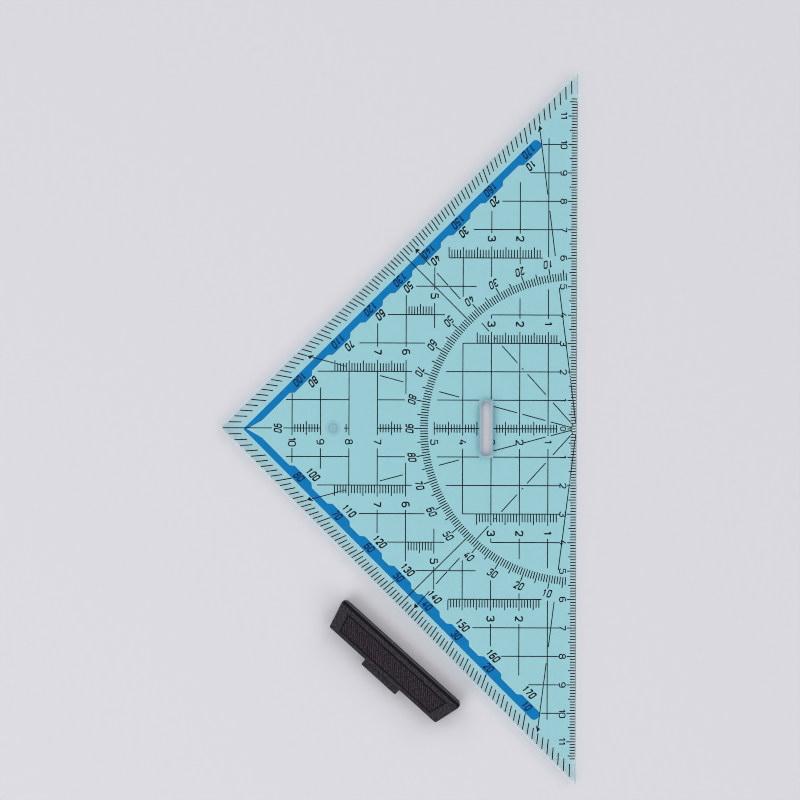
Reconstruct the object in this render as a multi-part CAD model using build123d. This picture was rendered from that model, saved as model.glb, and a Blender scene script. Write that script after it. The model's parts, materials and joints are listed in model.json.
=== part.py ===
from build123d import *

import os
from math import atan2, cos, degrees, radians, sin, sqrt

# A clear 45 degree drafting triangle with printed scales, and the handle that plugs into its slot.
# Millimetres and degrees, +Z up. The origin is on the table under the middle of the blade's plan
# box. The hypotenuse runs along X on the +Y side, and the right-angled corner points to -Y.

# Blade
HYPOTENUSE = 250.0
BLADE_THICKNESS = 2.4
LEG_BEVEL_WIDTH = 6.0  # ink edge under each leg
LEG_LIP = 1.25  # thickness that the ink edge leaves there
RULE_BEVEL_WIDTH = 2.8  # ink edge under the hypotenuse
RULE_LIP = 0.95
EDGE_BREAK = 0.15  # broken corner round the top face
SLOT_LENGTH = 20.0
SLOT_WIDTH = 4.3
SLOT_INSET = 31.7  # from the hypotenuse to the slot's middle
SLOT_BREAK = 0.25  # lead-in round the slot's top
GATE_INSET = 85.6  # from the hypotenuse to the middle of the moulding gate's mark
GATE_DIAMETER = 5.6
GATE_DEPTH = 0.25
GATE_STUB_DIAMETER = 2.0
GATE_STUB_HEIGHT = 0.15

# Handle, lying on its side
HANDLE_BASE = 50.0  # length along the face that sits on the blade
HANDLE_TOP = 56.1  # length along the edge that is held
HANDLE_HEIGHT = 11.1
HANDLE_THICKNESS = 7.0
HANDLE_TOP_ROUND = 1.7
HANDLE_BASE_ROUND = 0.5
HANDLE_CHAMFER = 0.4  # along both sides of the top edge
HANDLE_GAP = 9.65  # from the leg to the middle of the handle's top edge
HANDLE_ALONG = 12.5  # from the leg's middle, towards its free corner
HANDLE_SKEW = 3.1  # turn away from the leg's direction
RIM_WIDTH = 0.95  # bead left along the top edge
RIM_GROOVE = 0.75  # width of the groove under the bead
RIM_DEPTH = 0.5
PANEL_LOW = 1.65  # grip panel, measured up from the handle's base
PANEL_HIGH = 7.3
PANEL_END = 4.4  # from the panel to the handle's end
GROOVE_WIDTH = 0.5  # groove that frames the panel
GROOVE_DEPTH = 0.35
FOOT_LENGTH = 15.9
FOOT_CLEARANCE = 0.1  # to each wall of the slot
FOOT_SHORT = 0.1  # how far the seated foot stays above the blade's underside
FOOT_LEAD = 0.3  # lead-in chamfer at the foot's end

# Print
INK = 0.05  # thickness of the film
LINE = 0.36  # width of a ruled line
TICK = 0.38  # width of a graduation
GRID = 10.0  # pitch of the ruled lines
RULE_START = 0.2  # gap between the hypotenuse and its ticks
RULE_MARGIN = 8.5  # the millimetre scale stops this far from the corners
RULE_TICKS = (2.05, 2.7, 3.2)  # reach of the 1, 5 and 10 mm ticks from the hypotenuse
LEG_START = 0.4  # gap between the leg and its ticks
LEG_TICKS = (3.65, 4.5, 5.15)  # depth of the 1, 5 and 10 degree ticks from the leg
ARC_INNER = 52.25  # inner radius of the half-circle protractor
ARC_TICKS = (55.0, 56.15, 57.1)  # outer radius of its 1, 5 and 10 degree ticks
ARC_FIRST = 4  # first and last degree stand this far from the hypotenuse
ARC_CLEAR_INNER = 50.05  # ruled lines stay out of this ring, which holds the protractor
ARC_CLEAR_OUTER = 61.2
BAND_OUTER = 5.55  # depth of the blue band's outer edge from the leg
BAND_INNER = 8.07
BAND_SWELL = 9.27  # depth where the band swells round a numeral
BAND_SHIFT = 0.4  # the blue print stands this far to the right of the black print
SWELL_LENGTH = 8.45
SWELL_RUN = 1.4  # length of a swell's shoulder
NUMERAL_DEPTH = 7.35  # depth of the numerals in the band
BAND_PAST_NUMERAL = 5.5  # the band ends this far past its last numeral
BAND_END_ROUND = 1.6
BAND_TAPER = 3.0  # half width across the apex where the band starts to taper
BAND_TIP = 0.9  # depth left on the centre line
BAND_GAP = 0.25  # from the band to a tick beside it
BAND_CLEAR = (BAND_SWELL + BAND_GAP) * sqrt(2) + BAND_SHIFT  # how far along a line it all reaches

# Ruled lines: how far short of the leg each one stops, measured along the line
PARALLEL_STOPS = (12.8, 18.3, 18.5, 21.2, 18.3, 18.2, 18.1, 21.2, 20.7, 12.8)
SQUARE_STOPS = (12.8, 13.9, 18.6, 18.5, 18.5, 20.0, 18.6, 18.7, 18.4, 12.8)
SQUARE_START = 5.7  # square lines start under the centimetre numerals
COLUMN_OFFSET = 6.35  # from a side rule's line to its numerals
COLUMNS = {3: (1, 2, 3), 6: (2, 3), 4: (5,), 2: (6, 7)}  # square line: numbers beside it
CENTRE_OFFSET = 4.8  # from the centre line to its numerals
NUMERAL_GAP = 4.6  # break in a line for a numeral of one digit
SIDE_RULES = {6: (13, 45), 4: (51, 59), 3: (7, 35), 2: (61, 85)}  # square line: first, last mm
SIDE_TICKS = (2.9, 3.8)  # reach of the 1 and 5 mm ticks
CENTRE_TICKS = (1.45, 2.4)  # half length of the 1 and 5 mm ticks
CENTRE_FIRST = 7
CENTRE_SHORT = 25.0  # the centre ticks stop this far from the apex
CENTRE_START = 6.7
APEX_GAP = 0.6
APEX_NUMERAL = 19.9  # from the apex to the numeral on the centre line
APEX_NUMERAL_GAP = 4.1
BARE_FIELD = (70.0, 80.0)  # stretch between two parallel lines that stays unprinted
BARE_HALF = 15.0
SLOT_MARGIN = 0.3
GATE_MARGIN = 1.1
ARROW_TIP = 3.4  # depth of an arrowhead's tip from the leg
ARROW_BASE = 4.95  # depth of its base, which is parallel to the leg
ARROW_WIDTH = 2.1
RAY_START = 1.6  # pointers start this far from the zero mark
NUMERAL_RAY = 42.0  # angle of the pointer that is broken beside a numeral
NUMERAL_BREAK = (11.5, 14.95)  # between these depths
# Pointers: angle from the hypotenuse, gap at each ruled line crossed inside the protractor, outside it
POINTERS = ((7 + 10 / 60, 0.0, 0.0), (NUMERAL_RAY, 0.5, 0.0), (75.0, 0.7, 0.7))
HALF_ANGLE = 45.0  # plain line from the protractor to the leg's middle

ALTITUDE = HYPOTENUSE / 2
ROOT2 = sqrt(2)
FOOT_DEPTH = BLADE_THICKNESS - FOOT_SHORT
ZERO_MARK = Pos(0, ALTITUDE / 2, 0)
TOP_FACE = ZERO_MARK * Pos(0, 0, BLADE_THICKNESS)


def polar(angle, radius):
    """Point at an angle below the hypotenuse's right half, seen from the zero mark."""
    return Vector(radius * cos(radians(angle)), -radius * sin(radians(angle)))


def ray_reach(angle, depth):
    """Distance along that ray to the line that lies this deep inside the legs."""
    return (ALTITUDE - depth * ROOT2) / (abs(cos(radians(angle))) + sin(radians(angle)))


def stroke(start, end, width):
    """Flat printed line between two points."""
    run = end - start
    middle = (start + end) / 2
    turn = degrees(atan2(run.Y, run.X))
    return Pos(middle.X, middle.Y) * Rot(0, 0, turn) * Rectangle(run.length, width)


def stretches(start, end, gaps):
    """What is left of the run from start to end when the gaps are taken out."""
    left = []
    for low, high in sorted(gaps):
        if low > start:
            left.append((start, min(low, end)))
        start = max(start, high)
    left.append((start, end))
    return [(low, high) for low, high in left if high - low > LINE]


def covers(runs, place):
    """Whether one of these stretches passes a place."""
    return any(low < place < high for low, high in runs)


def around(middle, half):
    """Gap that reaches half each way from its middle."""
    return (middle - half, middle + half)


def step_of(count, reaches):
    """Reach of a graduation: plain, every fifth or every tenth."""
    if count % 10 == 0:
        return reaches[-1]
    return reaches[1] if count % 5 == 0 else reaches[0]


def ring_gap(offset):
    """Gap that the protractor's ring leaves on a line at this offset from the zero mark."""
    if offset >= ARC_CLEAR_OUTER:
        return []
    inner = sqrt(max(ARC_CLEAR_INNER**2 - offset**2, 0))
    return [(inner, sqrt(ARC_CLEAR_OUTER**2 - offset**2))]


def parallel_runs(number):
    """Stretches along X of the ruled line this many steps from the hypotenuse."""
    inset = number * GRID
    reach = ALTITUDE - inset - PARALLEL_STOPS[number - 1]
    gaps = ring_gap(inset)
    for square, numbers in COLUMNS.items():
        if number in numbers:
            gaps.append(around(square * GRID + COLUMN_OFFSET, NUMERAL_GAP / 2))
    if abs(inset - SLOT_INSET) < SLOT_WIDTH / 2 + SLOT_MARGIN:
        gaps.append(around(0, SLOT_LENGTH / 2 + SLOT_MARGIN))
    gaps += [(-high, -low) for low, high in gaps]
    gaps.append(around(CENTRE_OFFSET, NUMERAL_GAP / 2))
    return stretches(-reach, reach, gaps)


def square_end(number):
    """How far from the hypotenuse the square line this many steps from the centre reaches."""
    return ALTITUDE - number * GRID - SQUARE_STOPS[number - 1]


def square_runs(number):
    """Stretches, measured from the hypotenuse, of a line square to it. Both sides are alike."""
    offset = number * GRID
    gaps = ring_gap(offset)
    if offset < SLOT_LENGTH / 2 + SLOT_MARGIN:
        gaps.append(around(SLOT_INSET, SLOT_WIDTH / 2 + SLOT_MARGIN))
    if offset < BARE_HALF:
        gaps.append(BARE_FIELD)
    for line in PARALLELS:
        if covers(PARALLELS[line], -offset):
            gaps.append(around(line * GRID, LINE / 2))
    return stretches(SQUARE_START, square_end(number), gaps)


def side_rule_marks(number):
    """Millimetres of a side rule that have a tick. Every tenth is the ruled line itself."""
    first, last = SIDE_RULES[number]
    free = ALTITUDE - number * GRID - SIDE_TICKS[-1] - BAND_CLEAR
    last = min(last, int(min(free, square_end(number))))
    return [mark for mark in range(first, last + 1) if mark % 10]


PARALLELS = {n: parallel_runs(n) for n in range(1, len(PARALLEL_STOPS) + 1)}
SQUARES = {n: square_runs(n) for n in range(1, len(SQUARE_STOPS) + 1)}


def edge_scale():
    """Millimetre ticks along the hypotenuse, counted both ways from the middle."""
    last = int(ALTITUDE - RULE_MARGIN)
    ticks = []
    for mark in range(-last, last + 1):
        ticks.append(stroke(Vector(mark, -RULE_START), Vector(mark, -step_of(mark, RULE_TICKS)), TICK))
    return ticks


def leg_degree_scale():
    """One-degree ticks along both legs, each on a ray from the zero mark."""
    ticks = []
    for mark in range(1, 180):
        if mark == 90:
            continue
        deep = step_of(mark, LEG_TICKS)
        if any(abs(min(mark, 180 - mark) - angle) < 0.5 for angle, inside, outside in POINTERS):
            deep = min(deep, ARROW_TIP)
        outer = polar(mark, ray_reach(mark, LEG_START))
        ticks.append(stroke(outer, polar(mark, ray_reach(mark, deep)), TICK))
    return ticks


def protractor_scale():
    """One-degree ticks on the inner half circle."""
    ticks = []
    for mark in range(ARC_FIRST, 181 - ARC_FIRST):
        ticks.append(stroke(polar(mark, ARC_INNER), polar(mark, step_of(mark, ARC_TICKS)), TICK))
    return ticks


def parallel_lines():
    """Ruled lines parallel to the hypotenuse."""
    lines = []
    for number, runs in PARALLELS.items():
        for low, high in runs:
            lines.append(stroke(Vector(low, -number * GRID), Vector(high, -number * GRID), LINE))
    return lines


def square_lines():
    """Ruled lines square to the hypotenuse, broken where a parallel line crosses."""
    lines = []
    for number, runs in SQUARES.items():
        for side in (-1, 1):
            offset = side * number * GRID
            lines += [stroke(Vector(offset, -low), Vector(offset, -high), LINE) for low, high in runs]
    return lines


def side_rules():
    """Millimetre ticks that stand on the outer side of four square lines."""
    ticks = []
    for number in SIDE_RULES:
        for mark in side_rule_marks(number):
            for side in (-1, 1):
                foot = number * GRID + LINE / 2
                reach = number * GRID + step_of(mark, SIDE_TICKS)
                ticks.append(stroke(Vector(side * foot, -mark), Vector(side * reach, -mark), TICK))
    return ticks


def centre_scale():
    """The line down the middle, with a millimetre tick each side where nothing is in the way."""
    gaps = [
        (ARC_CLEAR_INNER, ARC_CLEAR_OUTER),
        BARE_FIELD,
        around(SLOT_INSET, SLOT_WIDTH / 2 + SLOT_MARGIN),
        around(GATE_INSET, GATE_DIAMETER / 2 + GATE_MARGIN),
        around(ALTITUDE - APEX_NUMERAL, APEX_NUMERAL_GAP / 2),
    ]
    marks = []
    for mark in range(CENTRE_FIRST, int(ALTITUDE - CENTRE_SHORT) + 1):
        if mark % 10 and not any(low < mark + TICK and mark - TICK < high for low, high in gaps):
            reach = step_of(mark, CENTRE_TICKS)
            for side in (-1, 1):
                marks.append(stroke(Vector(side * LINE / 2, -mark), Vector(side * reach, -mark), TICK))
    for number, runs in PARALLELS.items():
        if covers(runs, 0):
            gaps.append(around(number * GRID, LINE / 2))
    for low, high in stretches(CENTRE_START, ALTITUDE - APEX_GAP, gaps):
        marks.append(stroke(Vector(0, -low), Vector(0, -high), LINE))
    return marks


def crossing(angle, other, gap):
    """Half length of the gap that a line crossed at this angle needs in a ray."""
    return (other / 2 + gap + LINE / 2 * abs(cos(radians(angle)))) / sin(radians(angle))


def pointer_gaps(angle, inside, outside):
    """Gaps in a pointer's ray at everything that it crosses, measured from the zero mark."""
    rise, run = sin(radians(angle)), cos(radians(angle))
    gaps = [(ARC_CLEAR_INNER, ARC_CLEAR_OUTER)]
    for number, runs in PARALLELS.items():
        reach = number * GRID / rise
        if covers(runs, -reach * run):
            gap = inside if reach < ARC_INNER else outside
            gaps.append(around(reach, crossing(angle, LINE, gap)))
    for number, runs in SQUARES.items():
        reach = number * GRID / run
        if covers(runs, reach * rise):
            gap = inside if reach < ARC_INNER else outside
            gaps.append(around(reach, crossing(90 - angle, LINE, gap)))
    for number in SIDE_RULES:
        for mark in side_rule_marks(number):
            beyond = mark / rise * run - number * GRID
            if -LINE < beyond < step_of(mark, SIDE_TICKS) + LINE:
                gaps.append(around(mark / rise, crossing(angle, TICK, 0)))
    for mark in range(1, int(ALTITUDE)):
        if mark / run * rise < step_of(mark, RULE_TICKS) + LINE:
            gaps.append(around(mark / run, crossing(90 - angle, TICK, 0)))
    ends = SLOT_LENGTH / 2 + SLOT_MARGIN
    low, high = around(SLOT_INSET, SLOT_WIDTH / 2 + SLOT_MARGIN)
    if low / rise * run < ends:
        gaps.append((low / rise, min(high / rise, ends / run)))
    if angle == NUMERAL_RAY:
        shallow, deep = NUMERAL_BREAK
        gaps.append((ray_reach(angle, deep), ray_reach(angle, shallow)))
    return gaps


def angle_lines():
    """Sloping pointers with their arrowheads, and the plain line at half a right angle.

    One pointer of the right half runs on to its degree on the protractor.
    """
    marks = []
    half_base = Vector(1, 1) * (ARROW_WIDTH / 2 / ROOT2)
    for angle, inside, outside in POINTERS:
        tip, base = polar(angle, ray_reach(angle, ARROW_TIP)), polar(angle, ray_reach(angle, ARROW_BASE))
        head = Polygon(tip, base - half_base, base + half_base, align=None)
        marks += [head, mirror(head, Plane.YZ)]
        for low, high in stretches(RAY_START, base.length - LINE / 2, pointer_gaps(angle, inside, outside)):
            for beside in (angle, 180 - angle):
                marks.append(stroke(polar(beside, low), polar(beside, high), LINE))
    marks.append(stroke(polar(NUMERAL_RAY, ARC_CLEAR_INNER), polar(NUMERAL_RAY, ARC_INNER), LINE))
    start, end = ARC_TICKS[1], ray_reach(HALF_ANGLE, LEG_TICKS[1])
    node = GRID * round(ALTITUDE / 2 / GRID - 1) * ROOT2
    for low, high in stretches(start, end, [around(node, crossing(HALF_ANGLE, LINE, 0))]):
        for beside in (HALF_ANGLE, 180 - HALF_ANGLE):
            marks.append(stroke(polar(beside, low), polar(beside, high), LINE))
    return marks


def blue_band():
    """Blue band along both legs, swollen round its numerals and cut where black lines cross it."""
    half = SWELL_LENGTH / 2
    swells = []
    for mark in range(10, 90, 10):
        middle = polar(mark, ray_reach(mark, NUMERAL_DEPTH)).X * ROOT2 + NUMERAL_DEPTH
        start, stop, foot = middle - half, middle + half, middle + half + SWELL_RUN
        if mark == 10:
            end = stop = foot = middle + BAND_PAST_NUMERAL
        base = ((start - SWELL_RUN, BAND_INNER), (foot, BAND_INNER))
        swells.append(Polygon(*base, (stop, BAND_SWELL), (start, BAND_SWELL), align=None))
    corner, taper = BAND_OUTER + BAND_TIP, BAND_TAPER * ROOT2 + BAND_INNER
    strip = Polygon(
        (BAND_OUTER, BAND_OUTER),
        (end, BAND_OUTER),
        (end, BAND_INNER),
        (taper, BAND_INNER),
        (corner, corner),
        align=None,
    )
    band = strip + swells
    band = fillet(band.vertices().sort_by(Axis.X)[-2:], BAND_END_ROUND)
    right = Pos(0, -ALTITUDE) * Rot(0, 0, 45) * band
    black = [stroke(Vector(0, 0), Vector(0, -ALTITUDE), LINE)]
    black += angle_lines() + parallel_lines() + square_lines()
    return [Pos(BAND_SHIFT, 0) * (right + mirror(right, Plane.YZ)) - black]


def ink_film(marks):
    """Ink film on the blade's top face, one solid for each separate mark."""
    faces = [face for mark in marks for face in mark.faces()]
    return [TOP_FACE * extrude(face, INK, dir=(0, 0, 1)) for face in faces]


def blade():
    """Clear plate with ink edges underneath, the handle's slot and the moulding gate's mark."""
    outline = Polygon((-ALTITUDE, 0), (0, -ALTITUDE), (ALTITUDE, 0), align=None)
    plate = extrude(outline, BLADE_THICKNESS)
    leg = 1 / ROOT2
    edges = [
        (Vector(0, 1), Vector(0, 0), RULE_BEVEL_WIDTH, RULE_LIP),
        (Vector(leg, -leg), Vector(ALTITUDE / 2, -ALTITUDE / 2), LEG_BEVEL_WIDTH, LEG_LIP),
        (Vector(-leg, -leg), Vector(-ALTITUDE / 2, -ALTITUDE / 2), LEG_BEVEL_WIDTH, LEG_LIP),
    ]
    for outward, middle, width, lip in edges:
        rise = BLADE_THICKNESS - lip
        slope = Plane(middle - outward * width, z_dir=outward * rise - Vector(0, 0, width))
        plate = split(plate, slope, keep=Keep.BOTTOM)
    top = plate.faces().sort_by(Axis.Z)[-1]
    plate = chamfer(top.outer_wire().edges(), EDGE_BREAK)
    slot = SlotOverall(SLOT_LENGTH, SLOT_WIDTH)
    plate -= Pos(0, -SLOT_INSET) * extrude(slot, BLADE_THICKNESS)
    rim = plate.faces().sort_by(Axis.Z)[-1].inner_wires()[0]
    plate = chamfer(rim.edges(), SLOT_BREAK)
    gate_floor = BLADE_THICKNESS - GATE_DEPTH
    plate -= Pos(0, -GATE_INSET, gate_floor) * extrude(Circle(GATE_DIAMETER / 2), GATE_DEPTH)
    plate += Pos(0, -GATE_INSET, gate_floor) * extrude(Circle(GATE_STUB_DIAMETER / 2), GATE_STUB_HEIGHT)
    return ZERO_MARK * plate


def half_length(height):
    """Half of the handle's length at a height above its base."""
    return (HANDLE_BASE + (HANDLE_TOP - HANDLE_BASE) * height / HANDLE_HEIGHT) / 2


def trapezoid(low, high, inset):
    """Outline that follows the handle's sloping ends between two heights."""
    bottom, top = half_length(low) - inset, half_length(high) - inset
    return Polygon((-bottom, low), (bottom, low), (top, high), (-top, high), align=None)


def handle():
    """Handle on its side: flared grip, bead along its top, framed panels and the foot for the slot."""
    profile = trapezoid(0, HANDLE_HEIGHT, 0)
    profile = fillet(profile.vertices().sort_by(Axis.Y)[2:], HANDLE_TOP_ROUND)
    profile = fillet(profile.vertices().sort_by(Axis.Y)[:2], HANDLE_BASE_ROUND)
    grip = extrude(profile, HANDLE_THICKNESS)
    for level, down in ((0, -1), (HANDLE_THICKNESS, 1)):
        slope = Plane((0, HANDLE_HEIGHT - HANDLE_CHAMFER, level), z_dir=(0, 1, down))
        grip = split(grip, slope, keep=Keep.BOTTOM)
    panel = trapezoid(PANEL_LOW, PANEL_HIGH, PANEL_END)
    frame = offset(panel, GROOVE_WIDTH, kind=Kind.INTERSECTION) - panel
    rim = trapezoid(HANDLE_HEIGHT - RIM_WIDTH - RIM_GROOVE, HANDLE_HEIGHT - RIM_WIDTH, -HANDLE_TOP_ROUND)
    for outline, depth in ((frame, GROOVE_DEPTH), (rim, RIM_DEPTH)):
        groove = extrude(outline, depth)
        grip -= [groove, Pos(0, 0, HANDLE_THICKNESS - depth) * groove]
    foot_width = SLOT_WIDTH - 2 * FOOT_CLEARANCE
    foot = Box(FOOT_LENGTH, FOOT_DEPTH, foot_width, align=(Align.CENTER, Align.MAX, Align.CENTER))
    tip = foot.faces().sort_by(Axis.Y)[0]
    foot = chamfer(tip.edges(), FOOT_LEAD)
    grip += Pos(0, 0, HANDLE_THICKNESS / 2) * foot
    along, out = Vector(1, 1) / ROOT2, Vector(1, -1) / ROOT2
    top_middle = Vector(ALTITUDE / 2, -ALTITUDE / 2) + along * HANDLE_ALONG + out * HANDLE_GAP
    place = Pos(top_middle.X, top_middle.Y) * Rot(0, 0, 45 + HANDLE_SKEW) * Pos(0, -HANDLE_HEIGHT)
    return ZERO_MARK * place * grip


pieces = {"blade": [blade()], "handle": [handle()]}
for scale in (
    edge_scale,
    leg_degree_scale,
    protractor_scale,
    parallel_lines,
    square_lines,
    side_rules,
    centre_scale,
    angle_lines,
    blue_band,
):
    pieces[scale.__name__] = ink_film(scale())

os.makedirs("parts", exist_ok=True)
for name, solids in pieces.items():
    export_step(Compound(solids), f"parts/{name}.step")
    print(name, len(solids), "solids")
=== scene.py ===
# %% [markdown]
# # A clear drafting triangle and its plug-in handle
#
# The real object is a 250 mm set square of clear turquoise plastic, printed with scales, and a
# small black handle that lies beside it. The construction is loaded as a fixed frame: the blade,
# the handle and every ruled line already have their real size and place.
#
# What is left to do here is what a printer and a moulder add at the end: the tinted plastic, the
# inks, the grain of the handle, and the numerals. Then come the floor, the light and the camera.

# %% Load the frame
import json
from math import atan, cos, degrees, log, pi, radians, sin, sqrt

import bpy
from mathutils import Matrix, Vector


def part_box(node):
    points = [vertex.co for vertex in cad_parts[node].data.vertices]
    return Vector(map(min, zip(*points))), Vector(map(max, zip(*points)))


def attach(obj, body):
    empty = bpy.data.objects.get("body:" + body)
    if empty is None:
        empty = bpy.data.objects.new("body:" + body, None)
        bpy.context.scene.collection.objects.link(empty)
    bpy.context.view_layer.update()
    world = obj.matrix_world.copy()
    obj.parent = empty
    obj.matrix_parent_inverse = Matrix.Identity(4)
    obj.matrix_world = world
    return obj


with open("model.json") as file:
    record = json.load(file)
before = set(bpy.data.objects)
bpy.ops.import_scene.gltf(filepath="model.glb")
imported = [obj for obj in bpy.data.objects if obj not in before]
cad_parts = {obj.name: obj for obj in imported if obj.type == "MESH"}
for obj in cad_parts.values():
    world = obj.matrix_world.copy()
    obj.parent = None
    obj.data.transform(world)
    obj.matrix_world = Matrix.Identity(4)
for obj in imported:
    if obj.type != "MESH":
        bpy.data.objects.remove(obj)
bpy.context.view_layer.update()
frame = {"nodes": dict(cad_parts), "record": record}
print("nodes:", ", ".join(sorted(frame["nodes"])))

# %% [markdown]
# ## Where things are
#
# Everything printed is counted from the zero mark in the middle of the long edge, so a place is
# easiest to give as two distances: along that edge, and in from it. One small helper turns such a
# pair into a point of the frame. The altitude of the triangle is half of the long edge, because
# its corners are 45, 45 and 90 degrees.

# %% Measures read from the frame
MM = 0.001
blade_low, blade_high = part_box("blade")
altitude = (blade_high.x - blade_low.x) / 2
print_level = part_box("parallel_lines")[0].z
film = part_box("parallel_lines")[1].z - print_level


def spot(along, inset, level=0.0):
    """Point this far along the long edge from its zero mark, and this far in from the edge."""
    return Vector((along, blade_high.y - inset, level))


print(f"altitude {altitude / MM:.1f} mm, print at {print_level / MM:.2f} mm")
print(f"film {film / MM:.3f} mm thick")

# %% [markdown]
# ## Shader sums written as sums
#
# A finish is a net of nodes, and long nets are hard to read as code. The class below wraps one
# socket, so that `1 - mask * 0.5` adds the Math nodes by itself. Every other node comes from its
# one method `add`: the node's type, its settings, then the values or links of its sockets.


# %% A socket that can be used in a sum
class Wire:
    """A socket of a material's node tree. Sums with numbers or other wires add Math nodes."""

    def __init__(self, tree, socket=None):
        self.tree = tree
        self.socket = socket

    def add(self, kind, settings=None, inputs=None, out=0):
        """Adds a node, sets it up, links or fills its sockets, and returns one output."""
        node = self.tree.nodes.new("ShaderNode" + kind)
        for name, value in (settings or {}).items():
            if name == "stops":
                for stop, (place, colour) in zip(node.color_ramp.elements, value):
                    stop.position = place
                    stop.color = colour
            else:
                setattr(node, name, value)
        for name, value in (inputs or {}).items():
            if isinstance(value, Wire):
                self.tree.links.new(value.socket, node.inputs[name])
            else:
                node.inputs[name].default_value = value
        return Wire(self.tree, node.outputs[out] if node.outputs else None)

    def maths(self, operation, first, second=0.0):
        """A Math node of two numbers or wires."""
        return self.add("Math", {"operation": operation}, {0: first, 1: second})

    def __add__(self, other):
        return self.maths("ADD", self, other)

    def __sub__(self, other):
        return self.maths("SUBTRACT", self, other)

    def __rsub__(self, other):
        return self.maths("SUBTRACT", other, self)

    def __mul__(self, other):
        return self.maths("MULTIPLY", self, other)

    def __gt__(self, other):
        return self.maths("GREATER_THAN", self, other)

    def __lt__(self, other):
        return self.maths("LESS_THAN", self, other)

    __radd__ = __add__
    __rmul__ = __mul__


def start_finish(name):
    """New material with an empty net, and a wire to add its nodes with."""
    material = bpy.data.materials.new(name)
    material.use_nodes = True
    material.node_tree.nodes.clear()
    return material, Wire(material.node_tree)


def blend_colours(net, share, low, high):
    """Colour between two, by a share that changes over the surface."""
    return net.add("Mix", {"data_type": "RGBA"}, {0: share, 6: low, 7: high}, out=2)


def grain(net, size, detail=2.0, stretch=(1.0, 1.0, 1.0), turn=0.0):
    """Noise whose grains are this large, in metres, on the piece's own coordinates."""
    place = net.add("TexCoord", out="Object")
    scale = [share / size for share in stretch]
    turning = (0.0, 0.0, turn)
    turned = net.add("Mapping", None, {"Vector": place, "Rotation": turning, "Scale": scale})
    return net.add("TexNoise", None, {"Vector": turned, "Scale": 1.0, "Detail": detail}, out="Fac")


print("shader sums ready")

# %% [markdown]
# ## The clear plastic
#
# The blade is polished acrylic-like plastic with a turquoise dye right through it. Painting it
# blue would not do: the tint has to be weaker where the plastic is thinner, as along the ink edges.
# So the surface is colourless glass, and a Volume Absorption inside takes the red light away. Its
# strength is worked out from how much light a straight pass through the full thickness lets by.
#
# Lamps would leave a black shadow under plain glass, so shadow rays meet a transparent shader on
# the faces. The upright walls let little through: light that came in by the top face is turned
# back at a wall, which is why a clear plate has a thin shadow round its edge and in its slot. Only
# the thin lip of the long edge shows none. The walls are also less polished than the faces. The
# mark that the moulding gate left on the centre line is a little dull, in rings, and its rings are
# greyed in the base colour as painted shade for the light that the mark loses.

# %% Tint from what one pass through the plate lets by
PASS = (0.755, 0.985, 1.0)
plate = blade_high.z - blade_low.z
strength = [-log(share) / plate for share in PASS]
print("absorption per metre:", [round(s) for s in strength])

# %% The plastic's net of nodes
GATE_INSET = 85.6 * MM
GATE_RADIUS = 2.8 * MM
RING_PITCH = 1.6 * MM
LIP_WIDTH = 1.0 * MM
FLAT_ABOVE = 0.5
PLASTIC_IOR = 1.49
WALL_ROUGHNESS = 0.35
# The second tone is a grey painted shade for the light lost at the gate mark, not a colour of the
# plastic.
CLEAR_TONE, GATE_SHADE_TONE = (1.0, 1.0, 1.0, 1.0), (0.60, 0.66, 0.69, 1.0)
FACE_PASS, WALL_PASS = (1.0, 1.0, 1.0, 1.0), (0.0, 0.16, 0.26, 1.0)
plastic, net = start_finish("clear_turquoise_plastic")
density = max(strength)
dye = [1 - s / density for s in strength]
wear = grain(net, 9 * MM, 4.0)
scuffs = grain(net, 1.2 * MM, 3.0, (1.0, 0.06, 1.0), radians(38))
place = net.add("TexCoord", out="Object")
gate = spot(0.0, GATE_INSET, plate)
radius = net.add("VectorMath", {"operation": "DISTANCE"}, {0: place, 1: gate}, out="Value")
rings = net.maths("COSINE", radius * (2 * pi / RING_PITCH)) * 0.5 + 0.5
# The gate mask makes the mark rougher, which is real, and greys its base colour, which is painted
# shade.
dull_and_shaded = (radius < GATE_RADIUS) * (0.35 + rings * 0.65)
upright_part = net.add("SeparateXYZ", None, {0: net.add("NewGeometry", out="Normal")}, out="Z")
flat = net.maths("ABSOLUTE", upright_part) > FLAT_ABOVE
body = net.add(
    "BsdfPrincipled",
    None,
    {
        "Base Color": blend_colours(net, dull_and_shaded, CLEAR_TONE, GATE_SHADE_TONE),
        "Roughness": wear * 0.05 + scuffs * 0.03 + dull_and_shaded * 0.2 + (1 - flat) * WALL_ROUGHNESS,
        "IOR": PLASTIC_IOR,
        "Transmission Weight": 1.0,
    },
)
lip = net.add("SeparateXYZ", None, {0: place}, out="Y") > blade_high.y - LIP_WIDTH
wall = 1 - net.maths("MAXIMUM", flat, lip)
lamp_ray = net.add("LightPath", out="Is Shadow Ray")
open_way = net.add("BsdfTransparent", None, {"Color": FACE_PASS})
dim_way = net.add("BsdfTransparent", None, {"Color": WALL_PASS})
face_side = net.add("MixShader", None, {0: lamp_ray, 1: body, 2: open_way})
wall_side = net.add("MixShader", None, {0: lamp_ray, 1: body, 2: dim_way})
surface = net.add("MixShader", None, {0: wall, 1: face_side, 2: wall_side})
inside = net.add("VolumeAbsorption", None, {"Color": (*dye, 1.0), "Density": density})
net.add("OutputMaterial", None, {"Surface": surface, "Volume": inside})
print("plastic:", plastic.name, "density", round(density))

# %% [markdown]
# ## The inks
#
# Screen-printed ink is a thin, slightly uneven film: never quite black, never quite even, with a
# soft sheen. A fine noise varies its depth of colour and its roughness, and a weak bump gives the
# faint tooth that the screen leaves. Black and blue ink differ only in their two colours.


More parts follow.
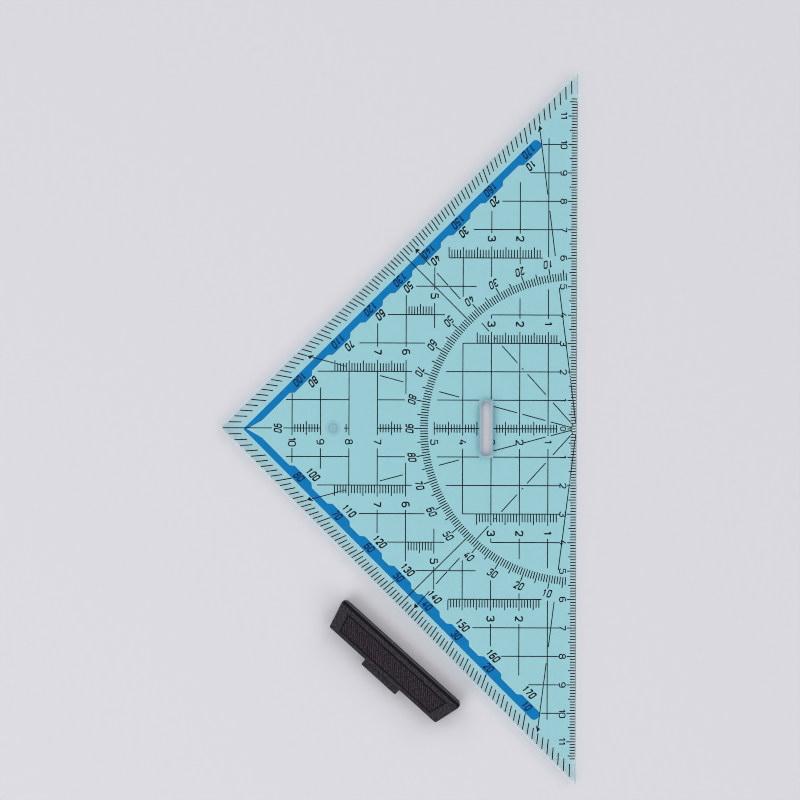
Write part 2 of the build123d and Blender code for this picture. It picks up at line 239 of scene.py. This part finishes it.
# %% One function for both inks
def make_ink(name, thick, thin):
    """Ink film between two colours: where it lies thick, and where it lies thin."""
    material, net = start_finish(name)
    cover = grain(net, 1.6 * MM, 3.0)
    tooth = grain(net, 0.12 * MM, 1.0)
    relief = net.add("Bump", None, {"Strength": 0.12, "Distance": 0.01 * MM, "Height": tooth})
    body = net.add(
        "BsdfPrincipled",
        None,
        {
            "Base Color": blend_colours(net, cover, thick, thin),
            "Roughness": 0.42 + cover * 0.2,
            "Specular IOR Level": 0.12,
            "Normal": relief,
        },
    )
    net.add("OutputMaterial", None, {"Surface": body})
    return material


black_ink = make_ink("black_ink", (0.004, 0.006, 0.008, 1.0), (0.012, 0.016, 0.019, 1.0))
under_ink = make_ink("black_under_blue", (0.002, 0.022, 0.085, 1.0), (0.004, 0.034, 0.125, 1.0))
blue_ink = make_ink("blue_ink", (0.000, 0.180, 0.465, 1.0), (0.001, 0.210, 0.54, 1.0))
print("inks:", black_ink.name, blue_ink.name)

# %% [markdown]
# ## The handle's black plastic
#
# The handle is a matte black moulding with a trace of purple. Its two long sides have a framed
# panel with fine slanting lines for the fingers. These are far too fine to model as faces, so they
# are a bump and a change of tone. The grooves are painted darker as painted shade, and the crest
# of the top edge is painted lighter as a painted highlight.
#
# The panel is found in the handle's own directions: a Mapping node turns the place back by the
# handle's turn and counts it from the middle of the handle's base.

# %% Where the handle's panel is
HANDLE_TURN = radians(48.1)
HANDLE_BASE = Vector((86.43 * MM, -5.40 * MM, 0.0))
PANEL_HALF, PANEL_SLOPE = 20.6 * MM, 0.275
GROOVE = 0.5 * MM
PANEL_LOW, PANEL_HIGH = 1.72 * MM, 7.3 * MM
RIM_LOW, RIM_HIGH = 9.4 * MM, 10.5 * MM
CREST_HIGH = 10.95 * MM
LINE_PITCH = 0.65 * MM
LINE_TURN = radians(-45)
# This tone is painted shade for the grooves, not a colour of the plastic.
GROOVE_SHADE_TONE = (0.005, 0.004, 0.007, 1.0)
# This lighter tone is a painted highlight on the crest of the top edge.
CREST_HIGHLIGHT_TONE = (0.080, 0.073, 0.090, 1.0)
FRAME_TONES = (0.010, 0.008, 0.014, 1.0), (0.046, 0.040, 0.052, 1.0)
PANEL_TONES = (0.001, 0.0005, 0.002, 1.0), (0.055, 0.036, 0.058, 1.0)
print(f"panel from {PANEL_LOW / MM:.2f} to {PANEL_HIGH / MM:.2f} mm above the handle's base")

# %% Handle plastic with a grained panel
handle_plastic, net = start_finish("matte_black_plastic")
turn_back = Matrix.Rotation(-HANDLE_TURN, 3, "Z")
place = net.add("TexCoord", out="Object")
start = -(turn_back @ HANDLE_BASE)
turning = (0.0, 0.0, -HANDLE_TURN)
own = net.add("Mapping", None, {"Vector": place, "Location": start, "Rotation": turning})
along = net.maths("ABSOLUTE", net.add("SeparateXYZ", None, {0: own}, out="X"))
up = net.add("SeparateXYZ", None, {0: own}, out="Y")
outward = along - up * PANEL_SLOPE
panel = (outward < PANEL_HALF) * (up > PANEL_LOW) * (up < PANEL_HIGH)
framed = (outward < PANEL_HALF + GROOVE) * (up > PANEL_LOW - GROOVE) * (up < PANEL_HIGH + GROOVE)
# Mask of the grooves round the panel and below the top edge, where painted shade darkens the
# colour.
groove_shade = (up > RIM_LOW) * (up < RIM_HIGH) + framed - panel
# Band along the crest of the top edge that gets a painted highlight.
crest_highlight = (up > RIM_HIGH) * (up < CREST_HIGH)

slanted = net.add("Mapping", None, {"Vector": own, "Rotation": (0.0, 0.0, LINE_TURN)})
across = net.add("SeparateXYZ", None, {0: slanted}, out="X")
mottle = (grain(net, 0.7 * MM, 4.0) - 0.5) * 3.4 + 0.5
pits = grain(net, 0.22 * MM, 2.0)
lines = net.maths("SINE", across * (2 * pi / LINE_PITCH))
tooth = pits * 0.5 + lines * panel
relief = net.add("Bump", None, {"Strength": 0.6, "Distance": 0.06 * MM, "Height": tooth})
frame_tone = blend_colours(net, mottle, *FRAME_TONES)
panel_share = mottle * 0.9 + lines * 0.35 - 0.13
panel_tone = blend_colours(net, panel_share, *PANEL_TONES)
side_tone = blend_colours(net, panel, frame_tone, panel_tone)
# The painted highlight on the crest is blended onto the side's tone here.
side_tone_with_highlight = blend_colours(net, crest_highlight, side_tone, CREST_HIGHLIGHT_TONE)
body = net.add(
    "BsdfPrincipled",
    None,
    {
        # The base colour is darkened in the grooves here as painted shade.
        "Base Color": blend_colours(net, groove_shade, side_tone_with_highlight, GROOVE_SHADE_TONE),
        "Roughness": 0.46 + mottle * 0.16,
        "Specular IOR Level": 0.2,
        "Normal": relief,
    },
)
net.add("OutputMaterial", None, {"Surface": body})
print("handle plastic:", handle_plastic.name)

# %% [markdown]
# ## Finishes onto the loaded nodes
#
# The nodes keep their shape. Only what is in their material slots changes: the record says which
# slot each node belongs to, so one small table of slots is enough.

# %% Assign the finishes
finishes = {
    "clear_plastic": plastic,
    "handle_plastic": handle_plastic,
    "black_ink": black_ink,
    "blue_ink": blue_ink,
}
for row in frame["record"]["subparts"]:
    node = frame["nodes"][row["node"]]
    node.data.materials.clear()
    node.data.materials.append(finishes[row["material_slot"]])
    print(row["node"], "is", node.data.materials[0].name)

# %% [markdown]
# ## Figures drawn with a pen
#
# The numerals are technical lettering: one line of even width, upright on the millimetre scales
# and slanted on the degree scales. A text object could give numerals, but not this lettering, so
# each figure is drawn as a draughtsman does. A single vertex is extruded from corner to corner,
# the corners are rounded with a vertex bevel, and the line is given its width as a curve. The grid
# for a figure is 4 wide and 6 high.
#
# The same strokes give four sets. The slanted figures have tighter corners than the upright ones,
# and either kind has a finer and a heavier pen.

# %% The ten figures as pen strokes
BOX_UP = [(0, 0), (4, 0), (4, 3.5), (0, 3.5), (0, 0)]
BOX_DOWN = [(4, 6), (0, 6), (0, 2.5), (4, 2.5), (4, 6)]
STROKES = {
    "0": [[(0, 0), (4, 0), (4, 6), (0, 6), (0, 0)]],
    "1": [[(0.6, 4.6), (2.2, 6)], [(2.2, 6), (2.2, 0)]],
    "2": [[(0.1, 4.6), (0.1, 6), (4, 6), (4, 3.4), (0, 0)], [(0, 0), (4.1, 0)]],
    "3": [
        [(0, 4.8), (0, 6), (3.8, 6), (3.8, 3.2), (1.5, 3.2)],
        [(1.5, 3.2), (4, 3.2), (4, 0), (0, 0), (0, 1.2)],
    ],
    "4": [[(4.3, 1.6), (0, 1.6)], [(0, 1.6), (2.4, 6)], [(3, 3.4), (3, 0)]],
    "5": [[(3.7, 6), (0.5, 6), (0.2, 3.6), (4, 3.6), (4, 0), (0, 0), (0, 1.1)]],
    "6": [BOX_UP, [(0, 1.7), (0, 6), (3.6, 6)]],
    "7": [[(0, 6), (4, 6)], [(4, 6), (1.3, 0)]],
    "8": [
        [(0, 0), (4, 0), (4, 3.2), (0, 3.2), (0, 0)],
        [(0.3, 3.2), (3.7, 3.2), (3.7, 6), (0.3, 6), (0.3, 3.2)],
    ],
    "9": [BOX_DOWN, [(4, 4.3), (4, 0), (0.4, 0)]],
}
GRID_WIDTH, GRID_HEIGHT = 4.0, 6.0
SHARP = {"5": [(0.5, 6), (0.2, 3.6)]}
print("figures on the grid:", " ".join(STROKES))

# %% Draw one stroke as edges with rounded corners
SAME_POINT = 0.01
CORNER_SEGMENTS = 3


def deselect():
    """Clears the selection before a step that acts on what is selected."""
    bpy.ops.object.select_all(action="DESELECT")


def draw_stroke(points, sharp, rounding):
    """One stroke of the pen: a vertex extruded along the points, its corners bevelled round."""
    deselect()
    bpy.ops.mesh.primitive_plane_add(size=1.0)
    bpy.ops.object.mode_set(mode="EDIT")
    bpy.ops.mesh.merge(type="CENTER")
    bpy.ops.transform.translate(value=(*points[0], 0.0))
    for here, there in zip(points, points[1:]):
        step = (there[0] - here[0], there[1] - here[1], 0.0)
        bpy.ops.mesh.extrude_vertices_move(TRANSFORM_OT_translate={"value": step})
    bpy.ops.mesh.select_all(action="SELECT")
    bpy.ops.mesh.remove_doubles(threshold=SAME_POINT)
    bpy.ops.mesh.select_all(action="DESELECT")
    bpy.ops.object.mode_set(mode="OBJECT")
    line = bpy.context.object
    closed = points[0] == points[-1]
    ends = [] if closed else [points[0], points[-1]]
    keep = [Vector((*point, 0.0)) for point in ends + sharp]
    for corner in line.data.vertices:
        corner.select = all((corner.co - place).length > SAME_POINT for place in keep)
    bpy.ops.object.mode_set(mode="EDIT")
    bpy.ops.mesh.select_mode(type="VERT")
    bpy.ops.mesh.bevel(
        offset=rounding, segments=CORNER_SEGMENTS, affect="VERTICES", clamp_overlap=True
    )
    bpy.ops.object.mode_set(mode="OBJECT")
    return line


print("segments in a rounded corner:", CORNER_SEGMENTS)

# %% Give the strokes their width and make each figure a thin solid
WELD = 0.001


def draw_figure(name, figure, rounding, width):
    """A figure one unit high on its own origin, as a flat closed mesh one unit thick."""
    lines = [draw_stroke(points, SHARP.get(figure, []), rounding) for points in STROKES[figure]]
    deselect()
    for line in lines:
        line.select_set(True)
    bpy.context.view_layer.objects.active = lines[0]
    if len(lines) > 1:
        bpy.ops.object.join()
    bpy.ops.object.convert(target="CURVE")
    pen = bpy.context.object
    pen.data.bevel_depth = width * GRID_HEIGHT / 2
    pen.data.bevel_resolution = 0
    pen.data.use_fill_caps = True
    bpy.ops.object.convert(target="MESH")
    shape = bpy.context.object
    shape.name = name
    thick = shape.dimensions.z
    centre = Matrix.Translation((-GRID_WIDTH / 2, -GRID_HEIGHT / 2, 0.0))
    size = Matrix.Diagonal((1 / GRID_HEIGHT, 1 / GRID_HEIGHT, 1 / thick, 1.0))
    shape.data.transform(size @ centre)
    bpy.ops.object.mode_set(mode="EDIT")
    bpy.ops.mesh.select_all(action="SELECT")
    bpy.ops.mesh.remove_doubles(threshold=WELD)
    bpy.ops.mesh.normals_make_consistent(inside=False)
    bpy.ops.object.mode_set(mode="OBJECT")
    return shape


def draw_set(name, rounding, width):
    """The ten figures with one rounding of the corners and one width of the pen."""
    return {figure: draw_figure(f"{name}_{figure}", figure, rounding, width) for figure in STROKES}


ROUND_CORNER, TIGHT_CORNER = 1.75, 1.05
FINE_PEN, BOLD_PEN = 0.185, 0.22
SLANTED_PEN, HEAVY_PEN = 0.235, 0.27
upright = draw_set("upright", ROUND_CORNER, FINE_PEN)
upright_bold = draw_set("upright_bold", ROUND_CORNER, BOLD_PEN)
square = draw_set("square", TIGHT_CORNER, SLANTED_PEN)
square_bold = draw_set("square_bold", TIGHT_CORNER, HEAVY_PEN)
faces = sum(len(shape.data.polygons) for shape in upright.values())
print("faces in ten upright figures:", faces)

# %% [markdown]
# ## Numbers written on the scales
#
# A number is a row of copies of those figures, spaced evenly, slanted if its scale is, and turned
# to its place. Each scale's numbers are joined into one piece that lies on the top face as the
# ruled lines do and rides with the blade.

# %% Write a number, and join a scale's numbers into a piece
PITCH, UPRIGHT_PITCH = 1.05, 0.6
SLANT = 0.27
NARROW = 0.7
numbers = []


def write_number(text, figures, height, place, turn=0.0, slant=0.0, width=1.0, level=print_level):
    """Copies of the figures of a number, centred on a place, standing on a level."""
    for column, figure in enumerate(text):
        copy = figures[figure].copy()
        copy.data = figures[figure].data.copy()
        bpy.context.collection.objects.link(copy)
        offset = (column - (len(text) - 1) / 2) * (PITCH if slant else UPRIGHT_PITCH)
        lean = Matrix.Identity(4)
        lean[0][1] = slant
        flat = Matrix.Diagonal((height * width, height, film, 1.0))
        stand = Matrix.Translation((place.x, place.y, level + film / 2))
        spin = Matrix.Rotation(turn, 4, "Z")
        copy.data.transform(stand @ spin @ flat @ lean @ Matrix.Translation((offset, 0.0, 0.0)))
        numbers.append(copy)


def finish_scale(name, ink):
    """Joins what has been written since the last scale into one piece on the blade."""
    deselect()
    for copy in numbers:
        copy.select_set(True)
    bpy.context.view_layer.objects.active = numbers[0]
    bpy.ops.object.join()
    piece = bpy.context.object
    piece.name = name
    piece.data.materials.clear()
    piece.data.materials.append(ink)
    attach(piece, "blade")
    print(f"{name}: {len(numbers)} figures, {len(piece.data.polygons)} faces")
    numbers.clear()


print(f"slanted figures lean by {degrees(atan(SLANT)):.0f} degrees")

# %% Centimetres along the long edge, both ways from zero
GRID = 10 * MM
EDGE_INSET = 4.7 * MM
EDGE_HEIGHT, EDGE_WIDE = 2.1 * MM, 1.12
ZERO_HEIGHT = 1.75 * MM
LAST_CENTIMETRE = 11
for count in range(-LAST_CENTIMETRE, LAST_CENTIMETRE + 1):
    height = EDGE_HEIGHT if count else ZERO_HEIGHT
    write_number(str(abs(count)), upright, height, spot(count * GRID, EDGE_INSET), width=EDGE_WIDE)
finish_scale("edge_numerals", black_ink)

# %% Centimetres down the middle, where the slot has cut off most of the 3
CENTRE_OFFSET = 4.8 * MM
UPRIGHT_HEIGHT = 2.4 * MM
SLOT_EDGE = 29.3 * MM
write_number("3", upright, UPRIGHT_HEIGHT, spot(CENTRE_OFFSET, 3 * GRID))
deselect()
bpy.context.view_layer.objects.active = numbers[0]
numbers[0].select_set(True)
bpy.ops.object.mode_set(mode="EDIT")
bpy.ops.mesh.select_all(action="SELECT")
bpy.ops.mesh.bisect(
    plane_co=spot(0.0, SLOT_EDGE), plane_no=(0.0, 1.0, 0.0), use_fill=True, clear_inner=True
)
bpy.ops.object.mode_set(mode="OBJECT")
for count in (1, 2, 4, 5, 7, 8, 9, 10):
    write_number(str(count), upright, UPRIGHT_HEIGHT, spot(CENTRE_OFFSET, count * GRID))
finish_scale("centre_numerals", black_ink)

# %% Centimetres beside the side rules, alike on both halves
COLUMNS = {36.8: (1, 2, 3), 66.8: (2, 3), 46.6: (5,), 26.8: (6, 7)}
for along, counts in COLUMNS.items():
    for count in counts:
        for side in (-1, 1):
            place = spot(side * along * MM, count * GRID)
            write_number(str(count), upright_bold, UPRIGHT_HEIGHT, place)
finish_scale("side_rule_numerals", black_ink)

# %% Degrees on the half circle, counted up to 90 from both ends
ARC_RADIUS = 58.7 * MM
DEGREE_HEIGHT = 2.35 * MM
TENS = range(10, 180, 10)
for angle in TENS:
    ray = radians(angle)
    place = spot(ARC_RADIUS * cos(ray), ARC_RADIUS * sin(ray))
    label = str(min(angle, 180 - angle))
    write_number(label, square, DEGREE_HEIGHT, place, pi / 2 - ray, SLANT, NARROW)
finish_scale("protractor_numerals", black_ink)


# %% Degrees along the legs: one row in the blue band, one row inside it
def on_ray(angle, depth):
    """Point where a ray from the zero mark is this deep inside the leg."""
    ray = radians(angle)
    reach = (altitude - depth * sqrt(2)) / (abs(cos(ray)) + sin(ray))
    return spot(reach * cos(ray), reach * sin(ray))


def write_leg_row(depth, level, backwards):
    """Degrees along both legs at one depth, counted one way or the other, but no 90."""
    for angle in TENS:
        if angle != 90:
            turn = radians(45 if angle < 90 else -45)
            label = str(180 - angle if backwards else angle)
            place = on_ray(angle, depth)
            write_number(label, square_bold, DEGREE_HEIGHT, place, turn, SLANT, NARROW, level)


BAND_DEPTH = 7.35 * MM
INNER_DEPTH = 11.35 * MM
APEX_INSET = 105 * MM
band_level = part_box("blue_band")[1].z
write_leg_row(BAND_DEPTH, band_level, backwards=False)
finish_scale("band_numerals", under_ink)
write_leg_row(INNER_DEPTH, print_level, backwards=True)
write_number("90", square, DEGREE_HEIGHT, spot(0.0, APEX_INSET), 0.0, SLANT, NARROW)
finish_scale("leg_numerals", black_ink)

# %% The drawn figures themselves are no longer needed
for figures in (upright, upright_bold, square, square_bold):
    for shape in figures.values():
        bpy.data.objects.remove(shape)

# %% [markdown]
# ## Floor and light
#
# The object lies on a pale, faintly lilac surface under soft light. The floor is set a hair below
# the blade, so that the two flat faces don't fight. Four large lamps stand round it, the one on the
# handle's outer side a little stronger. The sky glows only low down, where the upright walls mirror
# it. It is dark above, so that the flat top face mirrors no light into the camera.
#
# The real print is too thin to cast a shadow that shows, so the films cast none. Light already
# reaches the floor through the blade as shadow rays, so caustics would count it twice and are off.

# %% Floor
FLOOR_SIZE, FLOOR_DROP = 6.0, 0.2 * MM
FLOOR_TONES = (0.735, 0.730, 0.775, 1.0), (0.755, 0.750, 0.795, 1.0)
deselect()
bpy.ops.mesh.primitive_plane_add(size=FLOOR_SIZE, location=(0.0, 0.0, -FLOOR_DROP))
floor = bpy.context.object
floor.name = "floor"
paper, net = start_finish("pale_floor")
fibre = grain(net, 3 * MM, 5.0)
shade = blend_colours(net, fibre, *FLOOR_TONES)
matte = {"Base Color": shade, "Roughness": 0.9, "Specular IOR Level": 0.1}
body = net.add("BsdfPrincipled", None, matte)
net.add("OutputMaterial", None, {"Surface": body})
floor.data.materials.append(paper)
print("floor at", floor.location.z)

# %% Sky
scene = bpy.context.scene
scene.view_settings.view_transform = "Standard"
SKY_LOW, SKY_HIGH = 0.30, 0.03
GLOW_TOP = 0.25
SKY_TONE = (0.97, 0.98, 1.0, 1.0)
sky = bpy.data.worlds.new("studio")
sky.use_nodes = True
sky.node_tree.nodes.clear()
net = Wire(sky.node_tree)
rise = net.add("SeparateXYZ", None, {0: net.add("TexCoord", out="Generated")}, out="Z")
sky_strength = SKY_HIGH + (rise < GLOW_TOP) * (SKY_LOW - SKY_HIGH)
glow = net.add("Background", None, {"Color": SKY_TONE, "Strength": sky_strength})
net.add("OutputWorld", None, {"Surface": glow})
scene.world = sky
scene.cycles.caustics_refractive = False
scene.cycles.caustics_reflective = False
scene.cycles.filter_width = 1.0
print("sky strength:", SKY_LOW, "low down and", SKY_HIGH, "above")

# %% Lamps
LAMP_SIZE = 1.2
SIDE, HIGH = 0.72, 1.05
LAMPS = {
    "key": ((SIDE, -SIDE, HIGH), 11.6),
    "left": ((-SIDE, -SIDE, HIGH), 6.6),
    "right": ((SIDE, SIDE, HIGH), 6.6),
    "far": ((-SIDE, SIDE, HIGH), 7.4),
}


def add_lamp(name, place, power):
    """Large square lamp that faces the middle of the object."""
    deselect()
    bpy.ops.object.light_add(type="AREA", location=place)
    lamp = bpy.context.object
    lamp.name = name
    lamp.data.size = LAMP_SIZE
    lamp.data.energy = power
    lamp.data.cycles.use_multiple_importance_sampling = False
    lamp.rotation_euler = (-Vector(place)).to_track_quat("-Z", "Y").to_euler()
    print(name, "at", place)


for name, (place, power) in LAMPS.items():
    add_lamp(name, place, power)

# %% Films cast no shadow
inks = (black_ink, under_ink, blue_ink)
films = [node for node in bpy.data.objects if node.type == "MESH" and node.active_material in inks]
for node in films:
    node.visible_shadow = False
print("films without a shadow:", len(films))

# %% [markdown]
# ## Camera
#
# The picture is taken straight from above, with the long edge upright on the right. A long lens far
# away keeps the outline free of perspective. Its focal length follows from the width of the view
# and the distance, and the camera is turned a quarter turn and a hair more, as the object lies.

# %% Camera
VIEW_WIDTH = 281.25 * MM
VIEW_CENTRE = (-9.96 * MM, 0.42 * MM)
DISTANCE = 1.6
QUARTER_TURN = 90.20
lens_data = bpy.data.cameras.new("view")
lens_data.lens = lens_data.sensor_width * DISTANCE / VIEW_WIDTH
camera = bpy.data.objects.new("view", lens_data)
camera.location = (*VIEW_CENTRE, blade_high.z + DISTANCE)
camera.rotation_euler = (0.0, 0.0, radians(QUARTER_TURN))
scene.collection.objects.link(camera)
scene.camera = camera
field = degrees(2 * atan(VIEW_WIDTH / 2 / DISTANCE))
print(f"lens {lens_data.lens:.0f} mm, field {field:.1f} degrees")
